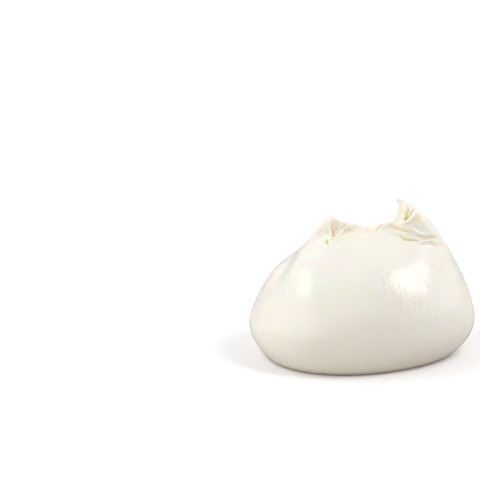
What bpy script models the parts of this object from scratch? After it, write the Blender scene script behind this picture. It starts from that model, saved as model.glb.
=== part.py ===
"""A burrata: one soft pouch of fresh cheese, pinched shut along its top between a blunt ear and a taller horn.

Metres, +Z up. The origin is the middle of the flat base that the cheese rests on. The pinched seam runs
along X, with the ear at -X and the horn at +X, and the front is towards -Y. Lengths named here are in
millimetres, and MM turns them into metres.
"""

import math
from collections import namedtuple

import bmesh
import bpy
import numpy as np
from mathutils import Matrix, Vector
from mathutils.bvhtree import BVHTree

MM = 0.001

# The finished cheese, end to end. Everything below is drawn close to this size and brought to it at the end.
LENGTH = 77.5

# The pouch, side by side: how far it bulges, the height of that bulge, the half height of the round that tucks
# it in below, how far above the bulge the side would meet the middle, and how full it stays on the way there
# (1 is a straight lean, more is a rounder shoulder).
Side = namedtuple("Side", "reach belly tuck rise fullness")
LEFT = Side(reach=38.3, belly=11.0, tuck=19.4, rise=40.8, fullness=1.62)
RIGHT = Side(reach=38.5, belly=12.2, tuck=20.2, rise=61.6, fullness=1.5)
FRONT = Side(reach=32.2, belly=11.0, tuck=20.0, rise=32.6, fullness=2.35)
BACK = Side(reach=33.5, belly=12.0, tuck=21.0, rise=31.8, fullness=2.1)
SEAM_HEIGHT = 42.9
UNDERSIDE = -8.0

# Seen from above, the lower pouch is fuller at the front left and at the back right: how far back a millimetre
# to the right lies there at the table, and the height where that has faded out.
SKEW = 0.17
SKEW_TOP = 36.0

# What the pinch pulled up: stations of x, y, z and half width along X. The ear and the two leaves of the horn
# are flattened front to back, and the lip of the seam is round.
EAR = ((-13.4, 0.5, 30.5, 8.1), (-12.5, 0.0, 38.6, 5.2), (-11.0, 0.0, 42.5, 3.9), (-10.1, 0.0, 45.0, 2.6),
       (-9.6, 0.0, 47.0, 1.2))
HORN = ((17.8, 0.0, 33.6, 12.2), (17.4, -0.6, 41.2, 8.4), (17.0, -0.9, 45.0, 5.7), (16.4, -0.9, 47.6, 3.9),
        (15.8, -0.6, 49.6, 2.4), (15.1, -0.2, 51.3, 1.2))
HORN_LINING = ((16.4, 2.0, 37.0, 9.0), (15.9, 1.6, 43.5, 6.4), (15.2, 1.3, 47.3, 4.2), (14.6, 1.0, 49.8, 2.6),
               (13.8, 0.9, 51.4, 1.6), (12.6, 0.8, 52.3, 0.9), (10.9, 0.7, 52.7, 0.5))
LIP = ((-8.1, 0.0, 45.0, 1.3), (-3.1, 0.0, 43.5, 1.3), (1.5, 0.0, 42.2, 1.3), (4.6, 0.0, 42.2, 1.3),
       (7.6, 0.0, 43.8, 1.2), (11.7, 0.0, 44.2, 1.2))
FLATTENED = 0.62
ROUND = 1.0

# Folds are drawn on the skin as on a board beside the pouch: marks of across, up, and how deep the fold is
# pressed there (a ridge is negative). A board is turned about Z from the front, and leans back, in degrees.
Board = namedtuple("Board", "turn lean folds")
Fold = namedtuple("Fold", "width marks")
FRONT_BOARD = Board(turn=0, lean=18, folds=(
    # The ear: its slit, the pit below it, and the pleats that run out of that.
    Fold(1.0, ((-9.6, 44.1, 0.0), (-9.9, 42.1, 0.9), (-9.4, 40.1, 1.6), (-9.2, 38.2, 2.4), (-8.4, 37.5, 0.6))),
    Fold(0.9, ((-11.2, 35.5, 2.2),)),
    Fold(1.0, ((-11.2, 35.8, 0.9), (-12.5, 38.4, 0.6), (-13.4, 40.7, 0.3), (-14.6, 42.2, 0.0))),
    Fold(1.1, ((-11.6, 35.6, 0.8), (-13.6, 36.9, 0.5), (-16.3, 37.9, 0.0))),
    Fold(1.3, ((-11.8, 35.4, 0.8), (-14.8, 34.3, 0.5), (-18.3, 34.4, 0.0))),
    Fold(1.4, ((-21.8, 35.2, 0.9),)),
    Fold(0.9, ((-9.5, 43.5, 0.0), (-10.9, 40.7, -0.5), (-10.4, 38.7, -0.6), (-10.3, 36.8, -0.5))),
    Fold(0.8, ((-8.5, 37.0, -0.3), (-7.4, 38.4, -0.6), (-6.0, 39.9, -0.6), (-4.5, 41.5, 0.0))),
    Fold(1.5, ((-8.1, 36.8, 0.4), (-4.7, 38.6, 0.9), (-1.8, 39.7, 0.6), (1.5, 40.3, 0.0))),
    Fold(2.2, ((-7.5, 41.0, 0.9),)),
    Fold(0.7, ((-5.6, 41.4, 0.9), (-4.8, 42.7, 0.3))),
    Fold(0.7, ((-2.8, 42.3, 0.4), (-1.2, 40.3, 0.4))),
    # The horn: two slits that meet in a pit, the roll under them, and the hollow behind the roll.
    Fold(0.9, ((16.4, 49.1, 0.0), (15.9, 46.5, 1.1), (15.5, 45.0, 1.7), (15.1, 43.5, 2.6))),
    Fold(1.0, ((18.3, 47.0, 0.0), (16.9, 45.6, 1.0), (15.5, 43.9, 1.6))),
    Fold(1.0, ((14.0, 46.8, 0.3), (14.3, 44.3, 0.6))),
    Fold(1.0, ((18.4, 45.8, 0.0), (17.9, 44.4, -0.8), (16.5, 42.9, -1.0), (14.4, 42.3, -0.8), (11.2, 42.3, -0.2))),
    Fold(1.1, ((20.6, 45.4, 0.3), (19.2, 43.5, 0.9), (17.8, 42.1, 1.0), (15.5, 41.4, 0.5), (12.2, 41.6, 0.0))),
    Fold(2.2, ((19.6, 41.6, 1.0),)),
    Fold(0.6, ((13.4, 49.0, 0.1), (13.0, 46.7, 0.5), (12.7, 45.1, 0.5), (11.9, 43.8, 0.5), (10.3, 42.7, 0.2))),
    # The puckers along the gather under the horn, running down to the right.
    Fold(0.8, ((9.8, 41.5, 0.0), (12.8, 40.6, 0.8), (15.2, 39.8, 1.3), (16.8, 38.6, 0.9), (18.3, 38.4, 0.0))),
    Fold(0.7, ((9.7, 40.5, 0.0), (12.0, 39.6, -0.5), (14.1, 39.0, -0.6), (16.2, 38.1, -0.6), (18.0, 37.9, 0.0))),
    Fold(0.8, ((9.2, 40.2, 0.0), (11.7, 38.7, 0.5), (14.8, 36.9, 1.1), (17.0, 36.4, 0.9), (19.1, 35.9, 0.0))),
    Fold(0.8, ((16.9, 40.3, 0.0), (19.4, 39.1, -0.7), (22.4, 39.0, -0.6), (25.4, 38.0, 0.0))),
    Fold(0.8, ((17.9, 38.2, 0.2), (21.1, 37.4, 0.9), (24.6, 37.5, 0.7), (26.4, 37.7, 0.0))),
    Fold(0.7, ((18.9, 35.6, -0.2), (21.1, 36.4, -0.6), (23.5, 36.7, -0.7), (25.6, 36.6, -0.6), (27.1, 35.6, 0.0))),
    Fold(0.7, ((22.2, 36.2, 0.2), (24.0, 35.5, 0.8), (25.6, 35.4, 0.7), (27.5, 35.0, 0.0))),
    Fold(1.0, ((17.3, 35.3, 0.0), (21.9, 34.6, -0.4), (25.1, 34.1, -0.4), (28.5, 33.6, 0.0))),
    # What the pinch does lower down: a shallow dent under the horn, and a soft edge below the ear.
    Fold(3.5, ((24.4, 32.0, 0.2), (28.5, 31.5, 0.5), (32.5, 29.5, 0.3))),
    Fold(5.0, ((-19.0, 34.0, -0.3), (-19.5, 27.0, -0.8), (-19.5, 20.0, -0.5), (-19.0, 14.0, 0.0))),
))
BACK_BOARD = Board(turn=180, lean=18, folds=(
    # The ear from behind: a pit with a slit above it and two pleats.
    Fold(1.0, ((10.4, 43.6, 0.0), (10.8, 40.8, 0.8), (11.3, 38.4, 1.4), (11.6, 36.4, 1.9))),
    Fold(1.3, ((11.7, 36.2, 0.9), (14.6, 34.4, 0.6), (18.0, 33.4, 0.0))),
    Fold(1.4, ((11.4, 36.2, 0.9), (8.0, 36.8, 0.8), (4.5, 38.2, 0.4), (1.0, 39.6, 0.0))),
    Fold(0.9, ((9.4, 42.6, 0.0), (9.2, 40.2, -0.6), (9.6, 38.0, -0.5))),
    # The horn from behind: its slit, a hollow, and the puckers of the gather.
    Fold(1.0, ((-16.6, 48.2, 0.0), (-16.8, 45.0, 1.0), (-16.2, 42.0, 1.6), (-15.6, 39.8, 2.2))),
    Fold(2.2, ((-20.2, 42.0, 0.9),)),
    Fold(1.0, ((-13.3, 46.2, 0.0), (-13.6, 43.2, -0.6), (-14.1, 40.8, -0.6), (-13.0, 38.8, 0.0))),
    Fold(0.9, ((-10.0, 39.8, 0.0), (-13.6, 38.6, 0.9), (-17.2, 37.3, 1.1), (-20.6, 36.9, 0.6), (-23.2, 37.1, 0.0))),
    Fold(0.8, ((-11.6, 38.4, 0.0), (-16.0, 36.6, -0.6), (-20.6, 36.0, -0.5), (-25.0, 36.6, 0.0))),
    Fold(0.9, ((-10.6, 38.1, 0.0), (-14.8, 36.3, 0.8), (-19.2, 35.0, 1.0), (-23.6, 35.1, 0.6), (-26.8, 35.4, 0.0))),
))
TOP_BOARD = Board(turn=0, lean=90, folds=(
    # The pinched seam between the ear and the horn.
    Fold(0.7, ((-8.0, 0.5, 0.2), (-3.0, 0.9, 0.6), (1.5, 0.8, 0.7), (6.0, 1.0, 0.6), (10.0, 0.8, 0.2))),
))
BOARD_AWAY = 200.0
STEPS_BETWEEN_MARKS = 4

# Beside a pressed fold the skin swells into a lip: its share of the depth, and where it stands and how wide it
# is, in widths of the fold.
LIP_SHARE = 0.25
LIP_PLACE = 1.9
LIP_WIDTH = 0.7

# Skin that looks away from the board takes none of its folds: the cosine where that begins, and the fade.
LOOKS_AWAY = 0.45
LOOKS_AWAY_FADE = 0.5

# How finely the one skin is made and softened, and how many triangles the finished solid may take.
VOXEL = 0.6
SOFTENING = 8
TRIANGLES = 9000
MERGE = 0.01

CREAM = (0.87, 0.83, 0.74, 1.0)
WETNESS = 0.28


def clear_scene():
    """Empties the startup scene."""
    for obj in list(bpy.data.objects):
        bpy.data.objects.remove(obj, do_unlink=True)


def link(obj):
    """Puts an object in the cheese's own collection."""
    name = "burrata_cheese"
    if name not in bpy.data.collections:
        bpy.context.scene.collection.children.link(bpy.data.collections.new(name))
    for holder in list(obj.users_collection):
        holder.objects.unlink(obj)
    bpy.data.collections[name].objects.link(obj)
    return obj


def evaluated_mesh(obj):
    """The object's mesh as its curve or its modifiers make it."""
    bpy.context.view_layer.update()
    return bpy.data.meshes.new_from_object(obj.evaluated_get(bpy.context.evaluated_depsgraph_get()))


def reach_at(side, height):
    """How far one side of the pouch stands out from the middle at a height."""
    above = height - side.belly
    if above < 0:
        return side.reach * math.sqrt(max(0.0, 1 - (above / side.tuck) ** 2))
    return side.reach * max(0.0, 1 - (above / side.rise) ** side.fullness)


def make_pouch():
    """The pouch without its ears: a sphere whose rings take the reach of the four sides."""
    bpy.ops.mesh.primitive_uv_sphere_add(segments=128, ring_count=96, radius=1)
    pouch = link(bpy.context.object)
    for vertex in pouch.data.vertices:
        x, y, z = vertex.co
        around = math.hypot(x, y) or 1.0
        height = UNDERSIDE + (z + 1) / 2 * (SEAM_HEIGHT - UNDERSIDE)
        across = x / around * reach_at(RIGHT if x > 0 else LEFT, height)
        back = y / around * reach_at(BACK if y > 0 else FRONT, height)
        back += SKEW * across * abs(y) / around * min(1.0, max(0.0, 1 - height / SKEW_TOP))
        vertex.co = Vector((across, back, height)) * MM
    return pouch


def make_roll(name, stations, flattened):
    """A tapering roll of skin along its stations, as a closed mesh."""
    curve = bpy.data.curves.new(name, "CURVE")
    curve.dimensions = "3D"
    curve.bevel_depth = MM
    curve.bevel_resolution = 6
    curve.use_fill_caps = True
    spline = curve.splines.new("NURBS")
    spline.points.add(len(stations) - 1)
    spline.use_endpoint_u = True
    spline.order_u = 3
    spline.resolution_u = 6
    for point, (x, y, z, half_width) in zip(spline.points, stations):
        point.co = (x * MM, y / flattened * MM, z * MM, 1)
        point.radius = half_width
    drawn = link(bpy.data.objects.new(name, curve))
    mesh = evaluated_mesh(drawn)
    bpy.data.objects.remove(drawn, do_unlink=True)
    shape = bmesh.new()
    shape.from_mesh(mesh)
    bmesh.ops.remove_doubles(shape, verts=shape.verts, dist=MERGE * MM)
    bmesh.ops.scale(shape, vec=(1, flattened, 1), verts=shape.verts)
    bmesh.ops.recalc_face_normals(shape, faces=shape.faces)
    shape.to_mesh(mesh)
    shape.free()
    return link(bpy.data.objects.new(name, mesh))


def join_under_one_skin(pouch, rolls):
    """Joins the rolls to the pouch and draws one soft skin over them all."""
    bpy.ops.object.select_all(action="DESELECT")
    for obj in (pouch, *rolls):
        obj.select_set(True)
    bpy.context.view_layer.objects.active = pouch
    bpy.ops.object.join()
    skin = pouch.modifiers.new("one_skin", "REMESH")
    skin.mode = "VOXEL"
    skin.voxel_size = VOXEL * MM
    soften = pouch.modifiers.new("soften", "SMOOTH")
    soften.factor = 0.5
    soften.iterations = SOFTENING
    apply_modifiers(pouch)


def apply_modifiers(obj):
    """Gives the object the mesh that its modifiers make."""
    mesh = evaluated_mesh(obj)
    obj.modifiers.clear()
    obj.data = mesh


def board_axes(board):
    """The board's across, up and inward directions."""
    turn = math.radians(board.turn)
    lean = math.radians(board.lean)
    across = Vector((math.cos(turn), math.sin(turn), 0))
    ahead = Vector((-math.sin(turn), math.cos(turn), 0))
    up = ahead * math.sin(lean) + Vector((0, 0, math.cos(lean)))
    inward = ahead * math.cos(lean) - Vector((0, 0, math.sin(lean)))
    return across, up, inward


def rounded(before, start, end, after, t):
    """A point between start and end, a share t of the way, on a curve through all four."""
    slope = end - before
    bend = 2 * before - 5 * start + 4 * end - after
    twist = 3 * start - before - 3 * end + after
    return 0.5 * (2 * start + slope * t + bend * t ** 2 + twist * t ** 3)


def route_on_skin(tree, fold, axes):
    """The fold's marks carried onto the skin and rounded between: rows of x, y, z and depth in metres."""
    across, up, inward = axes
    marks = [Vector(mark) * MM for mark in fold.marks]
    last = len(marks) - 1
    rows = []
    for index in range(max(1, last)):
        corners = [marks[min(max(index + offset, 0), last)] for offset in (-1, 0, 1, 2)]
        for step in range(STEPS_BETWEEN_MARKS + 1):
            mark = rounded(*corners, step / STEPS_BETWEEN_MARKS)
            start = across * mark.x + up * mark.y - inward * BOARD_AWAY * MM
            place = tree.ray_cast(start, inward)[0]
            if place is not None:
                rows.append((*place, mark.z))
    return np.array(rows)


def depth_pressed(places, route, width):
    """How deep the fold along a route presses each place, and how high its lip lifts it, as a negative depth."""
    nearest = np.full(len(places), np.inf)
    depth = np.zeros(len(places))
    for start, end in zip(route[:-1], route[1:]):
        along = end[:3] - start[:3]
        length = max(along @ along, (MERGE * MM) ** 2)
        share = np.clip((places - start[:3]) @ along / length, 0, 1)
        away = np.linalg.norm(places - start[:3] - share[:, None] * along, axis=1)
        closer = away < nearest
        nearest[closer] = away[closer]
        depth[closer] = (start[3] + share * (end[3] - start[3]))[closer]
    widths = nearest / width
    return depth * (np.exp(-widths ** 2) - LIP_SHARE * np.exp(-((widths - LIP_PLACE) / LIP_WIDTH) ** 2))


def press_folds(mesh, board):
    """Presses a board's folds into the side of the skin that faces it."""
    places = np.empty(len(mesh.vertices) * 3)
    mesh.vertices.foreach_get("co", places)
    places = places.reshape(-1, 3)
    normals = np.empty(len(mesh.vertices) * 3)
    mesh.vertex_normals.foreach_get("vector", normals)
    normals = normals.reshape(-1, 3)
    tree = BVHTree.FromPolygons([vertex.co for vertex in mesh.vertices], [face.vertices for face in mesh.polygons])
    axes = board_axes(board)
    pressed = sum(depth_pressed(places, route_on_skin(tree, fold, axes), fold.width * MM) for fold in board.folds)
    facing = np.clip((LOOKS_AWAY - normals @ np.array(axes[2])) / LOOKS_AWAY_FADE, 0, 1)
    places -= normals * (pressed * facing)[:, None]
    mesh.vertices.foreach_set("co", places.ravel())
    mesh.update()


def simplify(obj):
    """Brings the solid down to its number of triangles."""
    obj.data.calc_loop_triangles()
    fewer = obj.modifiers.new("fewer_triangles", "DECIMATE")
    fewer.ratio = TRIANGLES / len(obj.data.loop_triangles)
    apply_modifiers(obj)


def cut_flat_base(mesh):
    """Cuts the underside off at the table and closes it with a flat face."""
    shape = bmesh.new()
    shape.from_mesh(mesh)
    everything = shape.verts[:] + shape.edges[:] + shape.faces[:]
    bmesh.ops.bisect_plane(shape, geom=everything, dist=MERGE * MM, plane_co=(0, 0, 0), plane_no=(0, 0, -1),
                           clear_outer=True)
    rim = [edge for edge in shape.edges if edge.is_boundary]
    for vertex in {vertex for edge in rim for vertex in edge.verts}:
        vertex.co.z = 0
    bmesh.ops.holes_fill(shape, edges=rim)
    bmesh.ops.recalc_face_normals(shape, faces=shape.faces)
    shape.to_mesh(mesh)
    shape.free()


def bring_to_size(mesh):
    """Scales the cheese to its length and centres it over the origin."""
    low = Vector([min(vertex.co[axis] for vertex in mesh.vertices) for axis in range(3)])
    high = Vector([max(vertex.co[axis] for vertex in mesh.vertices) for axis in range(3)])
    middle = (low + high) / 2
    middle.z = 0
    mesh.transform(Matrix.Scale(LENGTH * MM / (high.x - low.x), 4) @ Matrix.Translation(-middle))


def finish(mesh):
    """Shades the skin smooth up to the edge of its base, in wet cream."""
    mesh.shade_smooth()
    mesh.set_sharp_from_angle(angle=math.radians(50))
    cream = bpy.data.materials.new("cream_skin")
    cream.use_nodes = True
    shader = cream.node_tree.nodes["Principled BSDF"]
    shader.inputs["Base Color"].default_value = CREAM
    shader.inputs["Roughness"].default_value = WETNESS
    shader.inputs["Metallic"].default_value = 0
    mesh.materials.clear()
    mesh.materials.append(cream)


def main():
    """Builds the cheese."""
    clear_scene()
    pouch = make_pouch()
    rolls = [make_roll("ear", EAR, FLATTENED), make_roll("horn", HORN, FLATTENED),
             make_roll("horn_lining", HORN_LINING, FLATTENED), make_roll("lip", LIP, ROUND)]
    join_under_one_skin(pouch, rolls)
    for board in (FRONT_BOARD, BACK_BOARD, TOP_BOARD):
        press_folds(pouch.data, board)
    simplify(pouch)
    cut_flat_base(pouch.data)
    bring_to_size(pouch.data)
    finish(pouch.data)
    pouch.name = "burrata"
    pouch.data.name = "burrata"


if __name__ == "__main__":
    main()
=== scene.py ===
"""The looks of a burrata: one wet pouch of fresh cheese, pinched shut between a blunt ear and a taller horn.

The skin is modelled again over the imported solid, with the pleats, slits and puckers of its gather cut deeper
and finer, and is dressed as wet, faintly fibrous cheese. It rests on a plain pale table in a soft studio.

Blender works in metres, +Z up. Lengths named here are in millimetres, and MM turns them into metres. The
pinched seam runs along X, with the ear at -X and the horn at +X, and the front is towards -Y.
"""

import logging
import math
from dataclasses import dataclass, field
from enum import Enum
from typing import Callable, Iterator, Sequence, Union

import bmesh
import bpy
import numpy as np
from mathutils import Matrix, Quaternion, Vector
from mathutils.bvhtree import BVHTree
from mathutils.kdtree import KDTree


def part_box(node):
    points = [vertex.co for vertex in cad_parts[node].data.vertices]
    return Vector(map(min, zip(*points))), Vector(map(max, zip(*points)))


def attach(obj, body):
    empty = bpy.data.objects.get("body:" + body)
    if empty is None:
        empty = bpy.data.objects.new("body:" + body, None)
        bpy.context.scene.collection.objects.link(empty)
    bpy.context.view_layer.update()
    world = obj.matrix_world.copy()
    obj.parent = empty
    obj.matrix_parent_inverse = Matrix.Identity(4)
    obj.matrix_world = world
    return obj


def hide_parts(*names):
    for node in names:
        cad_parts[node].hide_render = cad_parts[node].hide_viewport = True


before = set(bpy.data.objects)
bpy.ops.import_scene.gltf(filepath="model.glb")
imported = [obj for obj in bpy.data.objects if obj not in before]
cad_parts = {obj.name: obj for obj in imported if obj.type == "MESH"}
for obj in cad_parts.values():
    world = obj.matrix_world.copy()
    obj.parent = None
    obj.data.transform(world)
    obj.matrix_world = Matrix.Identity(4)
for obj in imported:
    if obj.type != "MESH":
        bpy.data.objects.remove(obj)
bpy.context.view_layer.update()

MM = 0.001
HAIR = 0.01 * MM
LOG = logging.getLogger("burrata")

Mark = tuple[float, float, float]
Station = tuple[float, float, float, float]


# ---- Small helpers for meshes ------------------------------------------------


def evaluated_mesh(obj: bpy.types.Object) -> bpy.types.Mesh:
    """Reads an object's mesh as its curve or its modifiers make it.

    Args:
        obj: A mesh or curve object.

    Returns:
        A new mesh of its own.
    """
    bpy.context.view_layer.update()
    return bpy.data.meshes.new_from_object(obj.evaluated_get(bpy.context.evaluated_depsgraph_get()))


def apply_modifiers(obj: bpy.types.Object) -> None:
    """Gives an object the mesh that its modifiers make.

    Args:
        obj: A mesh object, whose modifiers are taken off it.
    """
    mesh = evaluated_mesh(obj)
    obj.modifiers.clear()
    obj.data = mesh


def link(obj: bpy.types.Object) -> bpy.types.Object:
    """Puts an object in the scene's own collection, and returns it."""
    bpy.context.scene.collection.objects.link(obj)
    return obj


def places_of(mesh: bpy.types.Mesh) -> np.ndarray:
    """Reads where a mesh's vertices are.

    Args:
        mesh: The mesh.

    Returns:
        A row of x, y and z for each vertex.
    """
    places = np.empty(len(mesh.vertices) * 3)
    mesh.vertices.foreach_get("co", places)
    return places.reshape(-1, 3)


def normals_of(mesh: bpy.types.Mesh) -> np.ndarray:
    """Reads a mesh's vertex normals.

    Args:
        mesh: The mesh.

    Returns:
        A row of x, y and z for each vertex.
    """
    normals = np.empty(len(mesh.vertices) * 3)
    mesh.vertex_normals.foreach_get("vector", normals)
    return normals.reshape(-1, 3)


def edges_of(mesh: bpy.types.Mesh) -> np.ndarray:
    """Reads a mesh's edges.

    Args:
        mesh: The mesh.

    Returns:
        A row of two vertex numbers for each edge.
    """
    ends = np.empty(len(mesh.edges) * 2, dtype=np.int32)
    mesh.edges.foreach_get("vertices", ends)
    return ends.reshape(-1, 2)


def move_vertices(mesh: bpy.types.Mesh, places: np.ndarray) -> None:
    """Puts the mesh's vertices at new places, given as rows of x, y and z."""
    mesh.vertices.foreach_set("co", places.ravel())
    mesh.update()


def mean_of_edges(seen: Sequence[np.ndarray], edges: np.ndarray, size: int) -> np.ndarray:
    """Averages over the edges that meet at each vertex.

    Args:
        seen: What each edge's first end sees, and what its second end sees, with a row for each edge.
        edges: The mesh's edges, as rows of two vertex numbers.
        size: How many vertices there are.

    Returns:
        One row for each vertex.
    """
    total = np.zeros((size, *seen[0].shape[1:]))
    count = np.zeros((size, *(1 for _ in seen[0].shape[1:])))
    for end in (0, 1):
        np.add.at(total, edges[:, end], seen[end])
        np.add.at(count, edges[:, end], 1)
    return total / count


def neighbour_mean(values: np.ndarray, edges: np.ndarray) -> np.ndarray:
    """Returns the mean of the values at each vertex's neighbours, with a row for each vertex."""
    return mean_of_edges((values[edges[:, 1]], values[edges[:, 0]]), edges, len(values))


# ---- Shader sums -------------------------------------------------------------


class Value:
    """A number that changes over a surface: a shader socket whose sums add Math nodes."""

    def __init__(self, wiring: "Wiring", socket: bpy.types.NodeSocket) -> None:
        """Wraps a socket of a wiring's node tree."""
        self.wiring = wiring
        self.socket = socket

    def _sum(self, operation: str, first: "Operand", second: "Operand") -> "Value":
        """Adds a Math node for an operation on two operands."""
        node = self.wiring.node("ShaderNodeMath", {"operation": operation}, {0: first, 1: second})
        return Value(self.wiring, node.outputs[0])

    def __add__(self, other: "Operand") -> "Value":
        """Returns self + other."""
        return self._sum("ADD", self, other)

    def __radd__(self, other: "Operand") -> "Value":
        """Returns other + self."""
        return self._sum("ADD", other, self)

    def __sub__(self, other: "Operand") -> "Value":
        """Returns self - other."""
        return self._sum("SUBTRACT", self, other)

    def __rsub__(self, other: "Operand") -> "Value":
        """Returns other - self."""
        return self._sum("SUBTRACT", other, self)

    def __mul__(self, other: "Operand") -> "Value":
        """Returns self * other."""
        return self._sum("MULTIPLY", self, other)

    def __rmul__(self, other: "Operand") -> "Value":
        """Returns other * self."""
        return self._sum("MULTIPLY", other, self)

    def __pow__(self, other: "Operand") -> "Value":
        """Returns self ** other."""
        return self._sum("POWER", self, other)

    def at_least(self, least: float) -> "Value":
        """Returns self, or least where that is more."""
        return self._sum("MAXIMUM", self, least)

    def clamped(self) -> "Value":
        """Returns self held between 0 and 1."""
        node = self.wiring.node("ShaderNodeClamp", {}, {"Value": self})
        return Value(self.wiring, node.outputs["Result"])


Operand = Union[Value, float]
Colour = tuple[float, float, float]


@dataclass
class Wiring:
    """Adds nodes to one node tree, and links them."""

    tree: bpy.types.NodeTree

    def node(self, kind: str, settings: dict, inputs: dict) -> bpy.types.Node:
        """Adds a node.

        Args:
            kind: The node's type.
            settings: The node's own properties, which are set first.
            inputs: What each socket takes, by name or number: a Value, another node's socket, or a constant.

        Returns:
            The new node.
        """
        node = self.tree.nodes.new(kind)
        for name, setting in settings.items():
            setattr(node, name, setting)
        for name, given in inputs.items():
            socket = self._socket(node, name)
            if isinstance(given, Value):
                self.tree.links.new(given.socket, socket)
            elif isinstance(given, bpy.types.NodeSocket):
                self.tree.links.new(given, socket)
            else:
                socket.default_value = given
        return node

    @staticmethod
    def _socket(node: bpy.types.Node, name: Union[str, int]) -> bpy.types.NodeSocket:
        """Finds a node's input.

        Args:
            node: The node.
            name: The input's number, or its name among the sockets that are in use.

        Returns:
            The socket.
        """
        if isinstance(name, int):
            return node.inputs[name]
        return next(socket for socket in node.inputs if socket.name == name and socket.enabled)

    def value(self, node: bpy.types.Node, output: str) -> Value:
        """Returns a node's output as a Value."""
        return Value(self, node.outputs[output])

    def attribute(self, name: str) -> Value:
        """Returns a number that the mesh holds for each vertex."""
        return self.value(self.node("ShaderNodeAttribute", {"attribute_name": name}, {}), "Fac")

    def vector(self, operation: str, first: object, second: object) -> bpy.types.NodeSocket:
        """Adds a Vector Math node for an operation on two vectors, and returns its vector."""
        return self._worked(operation, first, second).outputs["Vector"]

    def measure(self, operation: str, first: object, second: object = (0, 0, 0)) -> Value:
        """Adds a Vector Math node for a measure of two vectors, and returns its number."""
        return self.value(self._worked(operation, first, second), "Value")

    def _worked(self, operation: str, first: object, second: object) -> bpy.types.Node:
        """Returns a new Vector Math node for an operation on two vectors."""
        return self.node("ShaderNodeVectorMath", {"operation": operation}, {0: first, 1: second})

    def position(self, stretch: Sequence[float]) -> bpy.types.NodeSocket:
        """Returns the place on the object, with its axes multiplied by three numbers."""
        return self.vector("MULTIPLY", self.node("ShaderNodeTexCoord", {}, {}).outputs["Object"], stretch)

    def noise(self, place: bpy.types.NodeSocket, wavelength: float, detail: float = 2.0) -> Value:
        """Adds smooth noise from 0 to 1.

        Args:
            place: Where the noise is read, in metres.
            wavelength: How far apart its swells are, in millimetres.
            detail: How many finer octaves it has.

        Returns:
            The noise.
        """
        inputs = {"Vector": place, "Scale": 1 / (wavelength * MM), "Detail": detail}
        return self.value(self.node("ShaderNodeTexNoise", {}, inputs), "Fac")

    def blend(self, share: Operand, first: object, second: object) -> bpy.types.NodeSocket:
        """Mixes two colours.

        Args:
            share: How much of the second colour there is, from 0 to 1.
            first: A colour with alpha, or a colour's socket.
            second: The same.

        Returns:
            The mixed colour.
        """
        inputs = {"Factor": share, "A": first, "B": second}
        node = self.node("ShaderNodeMix", {"data_type": "RGBA"}, inputs)
        return next(socket for socket in node.outputs if socket.enabled)


def new_material(name: str) -> tuple[bpy.types.Material, Wiring]:
    """Makes a material with an empty node tree.

    Args:
        name: What the material is called.

    Returns:
        The material, and the wiring of its tree.
    """
    material = bpy.data.materials.new(name)
    material.use_nodes = True
    material.node_tree.nodes.clear()
    return material, Wiring(material.node_tree)


def opaque(colour: Colour) -> tuple[float, float, float, float]:
    """Returns a colour with full alpha."""
    return (*colour, 1.0)


# ---- Finishes ----------------------------------------------------------------


@dataclass(frozen=True)
class Spot:
    """A round spot on the skin: its middle, and how far from there it ends."""

    middle: Mark
    radius: float


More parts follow.
